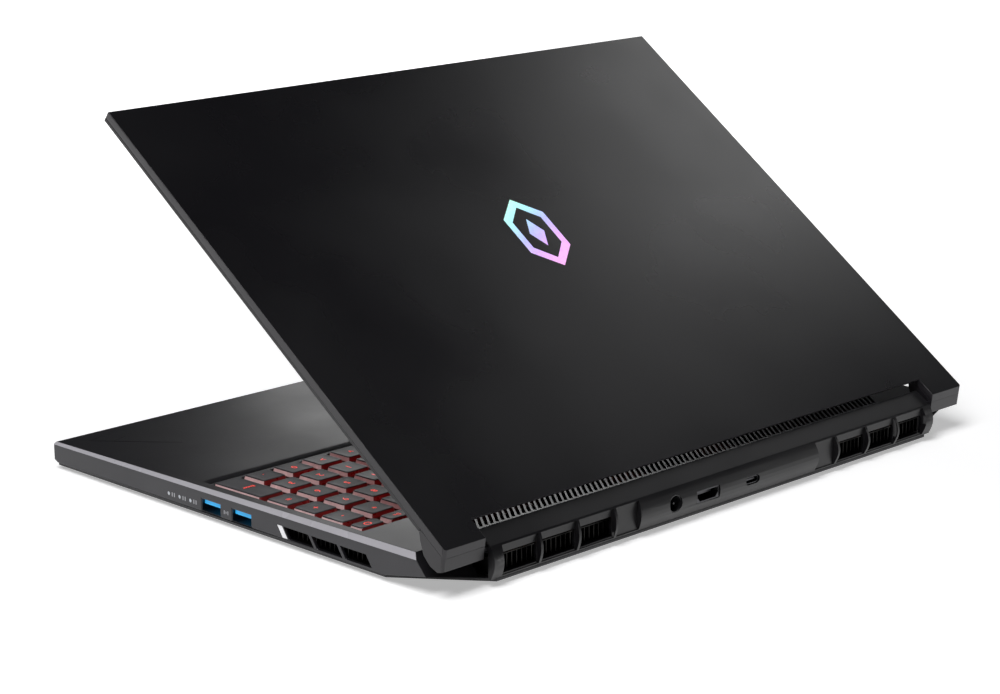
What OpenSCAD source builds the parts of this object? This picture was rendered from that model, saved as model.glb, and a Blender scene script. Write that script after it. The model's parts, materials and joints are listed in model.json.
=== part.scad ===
// Gaming laptop computer, lid partly open.
// Origin: centre of the base's footprint on the table. +X is the user's right,
// -Y the front edge, +Y the rear face with the exhaust, +Z up.

/* [Body] */
// Width of the base, side to side
body_w = 361.8; // [330:0.1:440]
// Depth of the base, front edge to rear face
body_d = 277.6; // [250:0.1:340]
// Height of the deck above the table at the front edge
front_h = 13.5; // [13:0.1:15]
// Height of the deck above the table at the hinge
rear_h = 17.5; // [17.2:0.1:21]
// Height of the bottom cover's underside above the table
bottom_z = 2.0; // [1.5:0.1:2.4]
// Thickness of the bottom cover
cover_t = 1.4; // [1.2:0.1:1.7]
// Wall thickness of the plastic shells
wall = 1.6; // [1.3:0.1:2]
// Height of the bright bevel along the sides, at the front
bevel_h = 1.4; // [1:0.1:2.5]
// Growth of that bevel from front to rear
bevel_grow = 1.2; // [0:0.1:2]
// Side length of the base's cut rear corners
corner_cut = 30; // [20:1:34]

/* [Lid] */
// Angle of the lid above level in the modelled pose
open_angle = 35.8; // [20:0.1:100]
// Total thickness of the lid
lid_t = 5.4; // [4.5:0.1:6.5]
// Gap between the closed lid and the deck
lid_gap = 1.0; // [0.8:0.1:1.6]
// Thickness of the bezel's rim
bezel_t = 1.8; // [1.5:0.1:2]
// Width of the bezel beside the display
bezel_side = 8.55; // [5:0.05:20]
// Height of the bezel above the display
brow = 10; // [8:0.1:12]
// Height of the bezel below the display, from the hinge axis
chin = 45.3; // [43.5:0.1:60]
// Depth of the notch between the lid's two ears, from the hinge axis
notch = 11; // [10.5:0.1:12]
// Width of each ear
ear_w = 23.9; // [23:0.1:27]
// How far the ears reach below the hinge axis
ear_drop = 5.9; // [5:0.1:6.5]
// Height of the lid's emblem
emblem_h = 46; // [20:1:60]
// Width of the lid's emblem
emblem_w = 27; // [12:1:50]

/* [Hinge] */
// Distance of the hinge axis from the rear face
hinge_inset = 6.2; // [6:0.1:7]
// Drop of the hinge axis below the deck's plane
hinge_drop = 0.2; // [0:0.1:0.5]
// Radius of the hinge shafts
shaft_r = 1.6; // [1.3:0.05:1.8]
// Rise of the hinge cover's ridge above the hinge axis
ridge_rise = 6.7; // [6.6:0.1:7]

/* [Keyboard] */
// Pitch of the number pad's keys, side to side
pad_pitch = 17.4; // [15:0.1:21]
// Pitch of the key rows, front to rear
row_pitch = 18.5; // [16:0.1:19.5]
// Gap between neighbouring keys
key_gap = 3.0; // [2:0.1:4]
// Depth of the function row's keys
fkey_d = 9; // [7:0.5:11]
// Travel of a key
key_travel = 1.3; // [1:0.1:1.6]
// Height of a keycap
key_h = 2.5; // [2:0.1:3]
// Rise of the keycaps above the deck
key_proud = 0.3; // [0:0.1:0.5]
// Width of the touchpad
pad_w = 125; // [90:1:130]

/* [Ports] */
// Height of the side ports' centre line
port_z = 7.1; // [6.8:0.1:7.4]
// Width of a large data port's opening
usb_w = 13.2; // [12:0.1:14]
// Height of a large data port's opening
usb_h = 5.6; // [5:0.1:5.8]
// Radius of the power inlet's bore
inlet_r = 3.7; // [2.5:0.05:4.5]
// Radius of the headset jack's bore
audio_r = 1.75; // [1.25:0.05:2.1]

/* [Cooling] */
// Radius of the fan rotors
fan_r = 31; // [25:0.5:32]
// Number of blades on each rotor
blades = 17; // [9:2:31]
// Pitch of the cooling fins
fin_pitch = 3; // [2:0.5:5]
// Pitch of the air slots in the deck
slot_pitch = 3.3; // [3:0.1:8]
// Width of the air slots in the deck
slot_w = 1.6; // [1:0.1:2]
// Outward bow of the rear face
rear_bow = 2.6; // [0.5:0.1:3]

/* [Hidden] */
$fn = 48;
e = 0.01;
front_y = -body_d / 2;
rear_y = body_d / 2;
rear_low = rear_y - rear_bow;
corner_y = rear_low - 1.25 * corner_cut;
corner_lean = 18;
face_t = rear_bow + wall;
side_x = body_w / 2;
hinge_y = rear_y - hinge_inset;
hinge_z = rear_h - hinge_drop;
face_top = hinge_z + 1.1;
tilt = atan((rear_h - front_h) / (hinge_y - front_y));
floor_z = bottom_z + cover_t;
front_wall_z = floor_z + 1.3;
front_chamfer = 2.4;

// lid, in a frame on the hinge axis whose -Y runs up the lid
lid_out = hinge_drop + lid_gap + lid_t;
lid_in = lid_out - lid_t;
bezel_top = lid_in + bezel_t;
lid_len = hinge_y - front_y - 0.7;
lid_end = -0.4;
edge_lean = 2.6;
seam_lean = edge_lean * (lid_out - bezel_top) / lid_t;
lid_skin = 1.5;
ear_front = 15.5;
ear_back = 4.3;
ear_low = 2.2;
ear_in = side_x - ear_w;
// where the ears' sloped end meets the seam between cover and hinge cap
seam_y = lid_end + (ear_back - lid_end) * (lid_out - bezel_top) / (lid_out + ear_low);
lens_t = 0.9;
screen_top = lid_len - brow;
screen_w = body_w - 2 * bezel_side;
screen_h = screen_top - chin;
panel_edge = 2.8;
panel_t = lid_out - lid_skin - bezel_top - 0.2;
emblem_y = -lid_len * 0.563;
emblem_depth = 0.3;
camera_y = -lid_len + 4.5;

// hinge cover and rear face
cap_half = ear_in - 2.5;
cap_y = hinge_y - notch + 1.4;
deck_end = hinge_y - ear_front - 1.0;
pocket_slope = 14;
knuckle_r = shaft_r + 0.8;
knuckle_len = 12;
shaft_clear = 0.1;
arm_x = ear_in + 3.6;
arm_w = 9;

// keyboard
field_w = body_w - 12.2;
key_pitch = (field_w - 4 * pad_pitch) / 15;
field_left = -field_w / 2;
pad_left = field_w / 2 - 4 * pad_pitch;
rows_rear = 68.5;
row_d = row_pitch - key_gap;
rows_front = rows_rear + 5 * row_pitch - key_gap;
frow_rear = rows_rear - key_gap - fkey_d - 0.5;
tray_front = rows_front + 3.5;
tray_rear = frow_rear - 2.2;
trough = 3;
key_top = key_proud;
key_low = key_top - key_h;
sheet_top = key_low - key_travel - 0.1;
sheet_t = 0.3;
plate_t = 0.7;
plate_low = sheet_top - sheet_t - plate_t;
key_inset = (key_gap - 0.4) / 2;

// touchpad, in the deck's frame
palm_front = hinge_y - front_y;
pad_front = palm_front - 14;
pad_rear = tray_front + trough + 12;
pad_x = field_left + 7.4 * key_pitch;
pad_gap = 0.4;
pad_t = 1.1;

// inner parts
tray_world = hinge_y - tray_front;
board_z = floor_z + 1.8;
board_t = 1.2;
board_top = board_z + board_t;
board_front = tray_world - 4;
board_mid = board_front + 54;
board_half = 70;
board_rear = rear_y - 4.5;
drive_x = side_x - 68.9;
shell_t = 0.4;
shell_d = 17;
port_pitch = 21.8;
network_w = 12.4;
port_y = tray_world + 11.2;
headset_y = port_y - 20;
light_y = port_y - 31;
rear_port_z = 10.6;
inlet_x = 39.6;
wide_port_x = 17.2;
small_port_x = -14;
fan_gap = 1.6;
fan_x = board_half + 7.5 + fan_r + fan_gap + 1;
fan_y = board_mid + 4 + fan_r + fan_gap + 1;
fan_top = floor_z + 6.9;
fan_skin = 0.8;
fin_top = floor_z + 8.4;
fin_front = rear_y - 31;
fin_rear = rear_y - 6.5;
pipe_t = 2.4;
window_w = 22.2;
window_step = 23.6;
window_x = cap_half - 6.3 - 2 * window_step - window_w;
blank_w = 15;
scoop_h = 4.3;
louvre_bow = 0.6;
window_z = 4.9;
window_h = 9.2;
vent_y = tray_world + 62;
vent_w = 16.6;
vent_step = 18.8;
vent_h = 5.2;
vent_lean = 3.6;
battery_front = front_y + 13;
battery_rear = board_front - 5;
battery_half = side_x - 50;
battery_top = floor_z + 5.9;
screws = [
    for (i = [-2 : 2]) [i * (side_x - 11) / 2, front_y + 7.4],
    [-side_x + 21, rear_y - 34.8], [side_x - 21, rear_y - 34.8],
    [-side_x * 0.32, rear_y - 52], [side_x * 0.32, rear_y - 52]
];
screw_r = 1.0;
boss_r = 2.6;
rotor_h = fan_top - floor_z - 2 * fan_skin - 1.2;
rotor_z = fan_skin + 0.6;
cold_top = board_top + 2.2;
pipe_x = cap_half - wall - knuckle_len - 2;
pipe_y = [fin_front + 4.4, fin_front + 13.1];
chips = [[-32, board_mid + 26, 30], [30, board_mid + 26, 33]];

function deck_z(y) = rear_h - (hinge_y - y) * tan(tilt);
// points of a shallow arc between two points, bowed sideways by b
function bow(x, z0, z1, b, n = 8) =
    [for (i = [0 : n]) [x + b * sin(180 * i / n), z0 + (z1 - z0) * i / n]];

// ---------- frames and shared shapes ----------

// the deck's tilted frame: origin on the deck above the hinge axis
module on_deck() {
    translate([0, hinge_y, rear_h]) rotate([tilt, 0, 0]) children();
}

// the lid's frame: origin on the hinge axis
module on_lid() {
    translate([0, hinge_y, hinge_z]) rotate([-open_angle, 0, 0]) children();
}

// a YZ profile extruded along X
module across(x0, x1, points) {
    translate([x0, 0, 0]) rotate([90, 0, 90]) linear_extrude(x1 - x0) polygon(points);
}

// an XZ profile extruded along +Y from y0
module along(y0, y1, points) {
    translate([0, y1, 0]) rotate([90, 0, 0]) linear_extrude(y1 - y0) polygon(points);
}

module box(x0, x1, y0, y1, z0, z1) {
    translate([x0, y0, z0]) cube([x1 - x0, y1 - y0, z1 - z0]);
}

// a copy on each side of the middle
module both_sides() {
    children();
    mirror([1, 0, 0]) children();
}

// a rounded bar of the given length along X
module capsule(len, d, h) {
    translate([-len / 2 + d / 2, -d / 2, 0]) cube([len - d, d, h]);
    for (s = [-1, 1])
        translate([s * (len - d) / 2, 0, 0]) cylinder(h = h, d = d);
}

// ---------- base shells ----------

module bottom_plan(inset) {
    polygon([
        [-side_x + inset, front_y + front_chamfer], [side_x - inset, front_y + front_chamfer],
        [side_x - inset, corner_y], [side_x - corner_cut, rear_low],
        [-side_x + corner_cut, rear_low], [-side_x + inset, corner_y]
    ]);
}

module bottom_cover() {
    color("#1b1a1d")
    difference() {
        translate([0, 0, bottom_z]) linear_extrude(cover_t) bottom_plan(0.8);
        // air intake slots under the fans
        both_sides()
            for (i = [-6 : 6], j = [-1 : 1])
                translate([fan_x + j * 19, fan_y + i * 4.6, bottom_z - 1])
                    linear_extrude(cover_t + 2) square([15, 2.2], center = true);
        for (p = screws) {
            translate([p[0], p[1], bottom_z - 1]) cylinder(h = cover_t + 2, r = screw_r);
            translate([p[0], p[1], bottom_z - 1]) cylinder(h = 1.9, r = 2.1);
        }
    }
}

// removes the ears' pocket: everything behind a wall that leans to the rear
module ear_pocket(shift) {
    both_sides()
        across(cap_half + shift, side_x + 10, [
            [deck_end - shift, rear_h + 3], [deck_end - shift, rear_h],
            [deck_end + pocket_slope - shift, floor_z - 1],
            [rear_y + 5, floor_z - 1], [rear_y + 5, rear_h + 3]
        ]);
}

// everything under the slanted underside of the rear corners
module corner_wedge(lift) {
    both_sides()
        translate([side_x, corner_y, floor_z + lift]) rotate([0, 0, 180 - atan(1.25)])
            rotate([-corner_lean, 0, 0]) translate([-40, -60, -30]) cube([110, 66, 30]);
}

module side_bevels() {
    grow_angle = atan((rear_h - bevel_h - bevel_grow - front_h + bevel_h) / body_d);
    both_sides()
        translate([side_x, front_y, front_h - bevel_h]) rotate([grow_angle, 0, 0])
            rotate([0, 52, 0]) translate([-20, -5, 0]) cube([40, body_d + 10, 20]);
}

// window outlines of the side vents, in YZ
module vent_windows(x0, x1) {
    for (i = [0 : 2])
        across(x0, x1, [
            [vent_y + i * vent_step, port_z + vent_h / 2],
            [vent_y + i * vent_step + vent_lean, port_z - vent_h / 2],
            [vent_y + i * vent_step + vent_w + vent_lean, port_z - vent_h / 2],
            [vent_y + i * vent_step + vent_w, port_z + vent_h / 2]
        ]);
}

// seat of the bright facet at the front end of the side vents
module accent_seat(x0, x1) {
    across(x0, x1, [
        [vent_y - 4.4, port_z + vent_h / 2], [vent_y - 4.4 + vent_lean, port_z - vent_h / 2],
        [vent_y - 1 + vent_lean, port_z - vent_h / 2], [vent_y - 1, port_z + vent_h / 2]
    ]);
}

module usb_place(x_side, y) {
    translate([x_side * side_x, y, port_z]) mirror([x_side < 0 ? 1 : 0, 0, 0]) children();
}

// runs its children at each large data port
module each_usb() {
    usb_place(1, port_y) children();
    usb_place(1, port_y + port_pitch) children();
    usb_place(-1, port_y) children();
}

module port_hole(w, h) {
    translate([-shell_d, -w / 2, -h / 2]) cube([shell_d + 1, w, h]);
}

module boss_points() {
    for (p = screws)
        translate([p[0], p[1], floor_z]) children();
}

module top_shell() {
    difference() {
        union() {
            across(-side_x, side_x, [
                [front_y, front_wall_z], [front_y, front_h - 0.8], [front_y + 0.8, front_h],
                [cap_y, deck_z(cap_y)], [cap_y, floor_z], [front_y + front_chamfer, floor_z]
            ]);
            // under the ears the wall leans on to the rear
            both_sides() across(cap_half, side_x, [
                [cap_y - 1, floor_z], [cap_y - 1, rear_h - 2],
                [deck_end + pocket_slope, rear_h - 2], [deck_end + pocket_slope, floor_z]
            ]);
        }
        // the hollow inside
        difference() {
            across(-side_x + wall, side_x - wall, [
                [front_y + wall, front_wall_z + 0.8], [front_y + wall, front_h - wall - 0.4],
                [front_y + wall + 0.8, deck_z(front_y) - wall],
                [deck_end - wall, deck_z(deck_end) - wall],
                [deck_end + pocket_slope - wall, floor_z - 1], [front_y + front_chamfer, floor_z - 1]
            ]);
            corner_wedge(wall);
        }
        corner_wedge(0);
        across(-cap_half + wall, cap_half - wall, [
            [deck_end - wall - 6, floor_z - 1], [deck_end - wall - 6, deck_z(deck_end - 6) - wall],
            [cap_y + 1, deck_z(cap_y + 1) - wall], [cap_y + 1, floor_z - 1]
        ]);
        ear_pocket(0);
        side_bevels();
    }
}

module top_cover() {
    color("#3c3a40")
    difference() {
        union() {
            top_shell();
            // screw bosses hang from the deck
            intersection() {
                boss_points() cylinder(h = rear_h, r = boss_r);
                across(-side_x, side_x, [
                    [front_y + 1, floor_z], [front_y + 1, front_h - 1],
                    [cap_y, deck_z(cap_y) - 1], [cap_y, floor_z]
                ]);
            }
        }
        boss_points() translate([0, 0, -1]) cylinder(h = 7.2, r = screw_r);
        // keyboard opening with a sloped trough in front
        on_deck() translate([0, -tray_front, -4]) box(-field_w / 2, field_w / 2, 0,
            tray_front - tray_rear, 0, 10);
        on_deck() across(-field_w / 2, field_w / 2, [
            [-tray_front - trough, 0.5], [-tray_front - trough, 0],
            [-tray_front, -wall * 0.75], [-tray_front + 1, -wall * 0.75], [-tray_front + 1, 0.5]
        ]);
        // touchpad opening
        on_deck() box(pad_x - pad_w / 2 - pad_gap, pad_x + pad_w / 2 + pad_gap,
            -pad_front - pad_gap, -pad_rear + pad_gap, -4, 1);
        // air slots behind the keyboard, leaning to one side
        on_deck()
            for (x = [-cap_half + 8 : slot_pitch : cap_half - 8])
                translate([x, -27.5, -4]) rotate([0, 0, -38])
                    box(-slot_w / 2, slot_w / 2, -8.5, 8.5, 0, 8);
        // side vents and ports
        both_sides() {
            vent_windows(side_x - wall - 2, side_x + 1);
            accent_seat(side_x - 0.6, side_x + 1);
        }
        each_usb() port_hole(usb_w + 2 * shell_t, usb_h + 2 * shell_t);
        usb_place(-1, port_y + port_pitch) port_hole(network_w + 2 * shell_t, usb_h + 2 * shell_t);
        usb_place(-1, headset_y) rotate([0, -90, 0]) translate([0, 0, -1])
            cylinder(h = 8, r = audio_r + 1.2);
        for (i = [0 : 2])
            usb_place(1, light_y + i * 8) rotate([0, -90, 0]) translate([0, 0, -1])
                cylinder(h = 4, r = 0.9);
    }
}

// outline of the hinge cover and its outward-bowed rear face
cap_outline = concat([
    [cap_y, deck_z(cap_y) - wall], [cap_y, deck_z(cap_y)],
    [cap_y + 0.6, hinge_z + ridge_rise - 2.3], [hinge_y - 4.8, hinge_z + ridge_rise]
], bow(rear_low, face_top, floor_z, rear_bow), [
    [rear_y - face_t, floor_z], [rear_y - face_t, deck_z(cap_y) - wall]
]);

// the hollow under the hinge cover
cap_hollow = [
    [cap_y + wall, deck_z(cap_y) - wall - 4], [cap_y + wall, deck_z(cap_y)],
    [cap_y + 0.6 + wall, hinge_z + ridge_rise - 3.3],
    [hinge_y - 4.6, hinge_z + ridge_rise - 1.8], [rear_y - face_t, face_top - 0.7],
    [rear_y - face_t, deck_z(cap_y) - wall - 4]
];

// an opening with bowed sides, cut along Y
module louvre(x0, w, z0, h, y0, y1) {
    along(y0, y1, concat(bow(x0, z0, z0 + h, louvre_bow), bow(x0 + w, z0 + h, z0, louvre_bow)));
}

// one exhaust window: a scoop in the bowed face, and the opening at its bottom
module exhaust_window(x0, w, open) {
    louvre(x0, w, window_z - 0.7, window_h + scoop_h, rear_low - 0.3, rear_y + 1);
    if (open)
        louvre(x0 + 0.5, w - 1, window_z, window_h, rear_y - face_t - 2, rear_y + 1);
}

module rear_cap() {
    color("#2b292e")
    difference() {
        across(-cap_half, cap_half, cap_outline);
        across(-cap_half + wall, cap_half - wall, cap_hollow);
        both_sides() {
            for (i = [0 : 2])
                exhaust_window(window_x + i * window_step, window_w, true);
            exhaust_window(window_x - window_step + window_w - blank_w, blank_w, false);
            // the hinge shaft passes through the end wall
            translate([cap_half - 2 * wall, hinge_y, hinge_z]) rotate([0, 90, 0])
                cylinder(h = 3 * wall, r = shaft_r + 0.5);
            // and the hinge's knuckle lies close under the cover
            translate([cap_half - wall - 0.5 - knuckle_len, hinge_y, hinge_z])
                rotate([0, 90, 0]) cylinder(h = knuckle_len + 0.5, r = knuckle_r + 0.1);
        }
        translate([inlet_x, rear_y - 8, rear_port_z + 0.6]) rotate([-90, 0, 0])
            cylinder(h = 10, r = inlet_r + 0.5);
        box(wide_port_x - 8, wide_port_x + 8, rear_y - 8, rear_y + 1,
            rear_port_z - 3, rear_port_z + 3);
        translate([small_port_x, rear_y - 8, rear_port_z]) rotate([-90, 0, 0])
            capsule(9.9, 4.1, 10);
    }
}

module rubber_feet() {
    color("#111113")
    both_sides() {
        translate([side_x * 0.6, front_y + 22, 0]) capsule(62, 8, bottom_z);
        translate([side_x * 0.6, rear_y - 22, 0]) capsule(72, 9, bottom_z);
    }
}

module bottom_screws() {
    color("#8a8a90")
    for (p = screws)
        translate([p[0], p[1], bottom_z + 0.1]) difference() {
            union() {
                cylinder(h = 0.8, r = 1.9);
                cylinder(h = 6.4, r = screw_r);
            }
            translate([0, 0, -1]) cylinder(h = 1.5, r = 0.75, $fn = 6);
        }
}

// ---------- inner parts of the base ----------

module motherboard() {
    color("#173a2a")
    difference() {
        translate([0, 0, board_z]) linear_extrude(board_t) polygon([
            [-side_x + 3, board_front], [side_x - 3, board_front], [side_x - 3, board_mid],
            [board_half, board_mid], [board_half, board_rear], [-board_half, board_rear],
            [-board_half, board_mid], [-side_x + 3, board_mid]
        ]);
        // connectors sit in cut-outs of the board
        each_usb() port_hole(usb_w + 2 * shell_t + 0.4, 12);
        usb_place(-1, port_y + port_pitch) port_hole(network_w + 2 * shell_t + 0.4, 12);
        usb_place(-1, headset_y) port_hole(2 * audio_r + 4.4, 12);
        for (p = screws)
            translate([p[0], p[1], board_z - 1]) cylinder(h = board_t + 2, r = boss_r + 0.5);
    }
    // standoffs
    color("#b89a4a")
    for (x = [-side_x * 0.75, side_x * 0.75, -board_half + 12, board_half - 12])
        translate([x, board_front + 8, floor_z]) cylinder(h = board_z - floor_z, r = 2.2);
}

module processor_chips() {
    color("#2f3136")
    for (c = chips)
        translate([c[0], c[1], board_top + 0.7]) cube([c[2], c[2], 1.4], center = true);
}

module memory_modules() {
    color("#1f4d35")
    for (x = [-37, 37]) {
        box(x - 34.8, x + 34.8, board_front + 14, board_front + 44, board_top + 0.4, board_top + 1.6);
        for (i = [-2 : 2])
            if (i != 0)
                box(x + i * 13 - 5, x + i * 13 + 5, board_front + 22, board_front + 36,
                    board_top + 1.6, board_top + 2.6);
        box(x - 35, x + 35, board_front + 9, board_front + 14, board_top, board_top + 3);
    }
}

module storage_drives() {
    color("#24262b")
    for (x = [-drive_x, drive_x]) {
        box(x - 34, x + 34, board_front + 24, board_front + 46, board_top + 1.4, board_top + 2.2);
        box(x - 28, x + 24, board_front + 27, board_front + 43, board_top + 2.2, board_top + 3.2);
        box(x - 40, x - 34, board_front + 24, board_front + 46, board_top, board_top + 3.4);
    }
}

module wireless_card() {
    color("#2a5a8a") {
        box(96, 126, board_front + 2, board_front + 20, board_top + 1.2, board_top + 2);
        box(99, 112, board_front + 5, board_front + 17, board_top + 2, board_top + 3);
        box(92, 96, board_front + 2, board_front + 20, board_top, board_top + 3);
    }
}

module battery_pack() {
    cells = 4;
    cell_w = (2 * battery_half - 4) / cells;
    color("#17181b")
    difference() {
        box(-battery_half, battery_half, battery_front, battery_rear, floor_z, battery_top);
        // grooves between the cells
        for (i = [1 : cells - 1])
            box(-battery_half + 2 + i * cell_w - 0.5, -battery_half + 2 + i * cell_w + 0.5,
                battery_front - 1, battery_rear + 1, battery_top - 1, battery_top + 1);
    }
}

module speakers() {
    color("#202124")
    both_sides()
        difference() {
            box(battery_half + 6, side_x - 4, battery_front + 4, battery_rear - 8,
                floor_z, floor_z + 6);
            translate([(battery_half + side_x) / 2 + 1, battery_front + 26, floor_z - 1])
                capsule(20, 12, 2);
        }
}

// a flattened pipe along X with bevelled edges, its middle at the origin
module flat_pipe(len) {
    half = 4;
    cut = pipe_t * 0.3;
    across(-len / 2, len / 2, [
        [-half + cut, 0], [half - cut, 0], [half, cut], [half, pipe_t - cut],
        [half - cut, pipe_t], [-half + cut, pipe_t], [-half, pipe_t - cut], [-half, cut]
    ]);
}

module heat_pipes() {
    bend_y = board_mid + 46.5;
    rise = fin_top - cold_top;
    run = pipe_y[0] - bend_y;
    color("#b4683a") {
        for (y = pipe_y)
            translate([0, y, fin_top]) flat_pipe(2 * pipe_x);
        for (c = chips, s = [-1, 1])
            translate([c[0] + s * 5.5, 0, 0]) {
                // along the cold plate, then up to the fins
                translate([0, bend_y - 17, cold_top]) rotate([0, 0, 90]) flat_pipe(34);
                translate([0, bend_y, cold_top])
                    rotate([atan(rise / run), 0, 0]) rotate([0, 0, 90])
                        translate([run / 2, 0, 0]) flat_pipe(run + 1);
            }
    }
}

module cold_plates() {
    color("#c07a48")
    for (c = chips)
        translate([c[0] - c[2] / 2 - 4, c[1] - c[2] / 2 - 3, board_top + 1.4])
            cube([c[2] + 8, c[2] + 6, cold_top - board_top - 1.4]);
}

module fin_bank(x0, x1, y0, y1) {
    box(x0, x1, y0, y1, floor_z + 0.6, floor_z + 1.2);
    box(x0, x1, y0, y1, fin_top - 0.4, fin_top);
    for (x = [x0 : fin_pitch : x1 - 0.4])
        box(x, x + 0.4, y0, y1, floor_z + 1.2, fin_top - 0.4);
}

module fin_stacks() {
    color("#8f8a86") {
        both_sides()
            fin_bank(window_x - 4, cap_half - wall - 1, fin_front, fin_rear);
        // fins beside the fans, for the side vents
        both_sides()
            for (y = [vent_y : fin_pitch : vent_y + 3 * vent_step])
                box(side_x - 11, side_x - 3.4, y, y + 0.4, floor_z + 1.2, fan_top - 0.4);
        both_sides() {
            box(side_x - 11, side_x - 3.4, vent_y, vent_y + 3 * vent_step + 0.4,
                floor_z + 0.6, floor_z + 1.2);
            box(side_x - 11, side_x - 3.4, vent_y, vent_y + 3 * vent_step + 0.4,
                fan_top - 0.4, fan_top);
        }
    }
}

module fan_case() {
    m = fan_r + fan_gap;
    difference() {
        box(-m - 1, m + 1, -m - 1, m + 1, 0, fan_top - floor_z);
        translate([0, 0, fan_skin]) cylinder(h = fan_top - floor_z - 2 * fan_skin, r = m);
        // open outlets to the rear and the side
        box(-m + 6, m - 2, 0, m + 3, fan_skin, fan_top - floor_z - fan_skin);
        box(0, m + 3, -m + 6, m - 2, fan_skin, fan_top - floor_z - fan_skin);
        // intakes above and below
        translate([0, 0, fan_top - floor_z - 2 * fan_skin]) cylinder(h = 3 * fan_skin, r = fan_r - 9);
        difference() {
            translate([0, 0, -1]) cylinder(h = 2 + fan_skin, r = fan_r - 9);
            cylinder(h = 3, r = 8);
            for (a = [0 : 120 : 359])
                rotate([0, 0, a]) box(0, fan_r, -2, 2, -2, 3);
        }
    }
    // fixed spindle
    cylinder(h = rotor_z + rotor_h - 1.1, r = 1.4);
}

module fan_housings() {
    color("#26272b")
    both_sides()
        translate([fan_x, fan_y, floor_z]) fan_case();
}

module fan_rotor() {
    color("#17181a")
    translate([0, 0, floor_z + rotor_z]) difference() {
        union() {
            cylinder(h = rotor_h, r = 9.5);
            for (i = [0 : blades - 1])
                rotate([0, 0, i * 360 / blades]) translate([8.8, 0, 0.4]) rotate([0, 0, 24])
                    translate([0, -0.35, 0]) cube([fan_r - 11.5, 0.7, rotor_h - 0.8]);
            difference() {
                translate([0, 0, 0.8]) cylinder(h = 0.8, r = fan_r);
                translate([0, 0, 0.2]) cylinder(h = 2, r = fan_r - 5.5);
            }
        }
        translate([0, 0, -1]) cylinder(h = rotor_h + 0.2, r = 1.5);
    }
}

module fan_rotor_left() {
    translate([-fan_x, fan_y, 0]) fan_rotor();
}

module fan_rotor_right() {
    translate([fan_x, fan_y, 0]) fan_rotor();
}

// ---------- keyboard and touchpad ----------

module keyboard_plate() {
    color("#6f7278")
    on_deck() box(-field_w / 2 + 0.3, field_w / 2 - 0.3, -tray_front + 0.3, -tray_rear - 0.3,
        plate_low, plate_low + plate_t);
}

module key_membrane() {
    color("#5a1216")
    on_deck() box(-field_w / 2 + 0.3, field_w / 2 - 0.3, -tray_front + 0.3, -tray_rear - 0.3,
        plate_low + plate_t, sheet_top);
}

// one keycap: x0 and w span its cell, rear is the cap's rear edge
module key(x0, w, rear, d) {
    box(x0 + key_inset, x0 + w - key_inset, -rear - d, -rear, key_low, key_top - 0.5);
    box(x0 + key_inset + 0.5, x0 + w - key_inset - 0.5, -rear - d + 0.5, -rear - 0.5,
        key_top - 0.5, key_top);
}

// a key of the main block, start and width in key units
module unit_key(row, start, units) {
    on_deck() key(field_left + start * key_pitch, units * key_pitch,
        rows_rear + row * row_pitch, row_d);
}

module unit_keys(row, first, count) {
    for (i = [0 : count - 1])
        unit_key(row, first + i, 1);
}

// a key of the number pad, tall in rows
module pad_key(row, column, tall = 1) {
    on_deck() key(pad_left + column * pad_pitch, pad_pitch,
        rows_rear + row * row_pitch, row_d + (tall - 1) * row_pitch);
}

module pad_keys(row, first, last) {
    for (c = [first : last])
        pad_key(row, c);
}

module keys_function_row() {
    color("#2a292d") {
        on_deck()
            for (i = [0 : 14])
                key(field_left + i * key_pitch, key_pitch, frow_rear, fkey_d);
        on_deck()
            for (c = [0 : 2])
                key(pad_left + c * pad_pitch, pad_pitch, frow_rear, fkey_d);
    }
}

module key_power() {
    color("#2a292d") on_deck() key(pad_left + 3 * pad_pitch, pad_pitch, frow_rear, fkey_d);
}

module keys_number_row() {
    color("#2a292d") {
        unit_keys(0, 0, 13);
        pad_keys(0, 0, 3);
    }
}

module key_backspace() {
    color("#2a292d") unit_key(0, 13, 2);
}

module keys_upper_row() {
    color("#2a292d") {
        unit_keys(1, 1.5, 12);
        unit_key(1, 13.5, 1.5);
        pad_keys(1, 0, 3);
    }
}

module key_tab() {
    color("#2a292d") unit_key(1, 0, 1.5);
}

module keys_home_row() {
    color("#2a292d") {
        unit_keys(2, 1.75, 11);
        pad_keys(2, 0, 3);
    }
}

module key_caps_lock() {
    color("#2a292d") unit_key(2, 0, 1.75);
}

module key_enter() {
    color("#2a292d") unit_key(2, 12.75, 2.25);
}

module keys_lower_row() {
    color("#2a292d") {
        unit_keys(3, 2.25, 10);
        pad_keys(3, 0, 2);
    }
}

module key_left_shift() {
    color("#2a292d") unit_key(3, 0, 2.25);
}

module key_right_shift() {
    color("#2a292d") unit_key(3, 12.25, 1.75);
}

module keys_bottom_row() {
    color("#2a292d") {
        unit_key(4, 0, 1.5);
        unit_keys(4, 1.5, 2);
        unit_key(4, 3.5, 1.25);
        unit_keys(4, 10, 3);
        pad_keys(4, 1, 2);
    }
}

module key_space() {
    color("#2a292d") unit_key(4, 4.75, 5.25);
}

module key_numpad_enter() {
    color("#2a292d") pad_key(3, 3, 2);
}

module key_up() {
    color("#2a292d") unit_key(3, 14, 1);
}

module key_left() {
    color("#2a292d") unit_key(4, 13, 1);
}

module key_down() {
    color("#2a292d") unit_key(4, 14, 1);
}

module key_right() {
    color("#2a292d") pad_key(4, 0);
}

module touchpad() {
    color("#302e33")
    on_deck() difference() {
        box(pad_x - pad_w / 2, pad_x + pad_w / 2, -pad_front, -pad_rear, -0.2 - pad_t, -0.2);
        // the pad's own pivot edge is thinned to clear its frame
        box(pad_x - pad_w / 2 - 1, pad_x + pad_w / 2 + 1, -pad_rear - 2, -pad_rear + 1,
            -1 - pad_t, -0.2 - pad_t + 0.3);
    }
}

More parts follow.
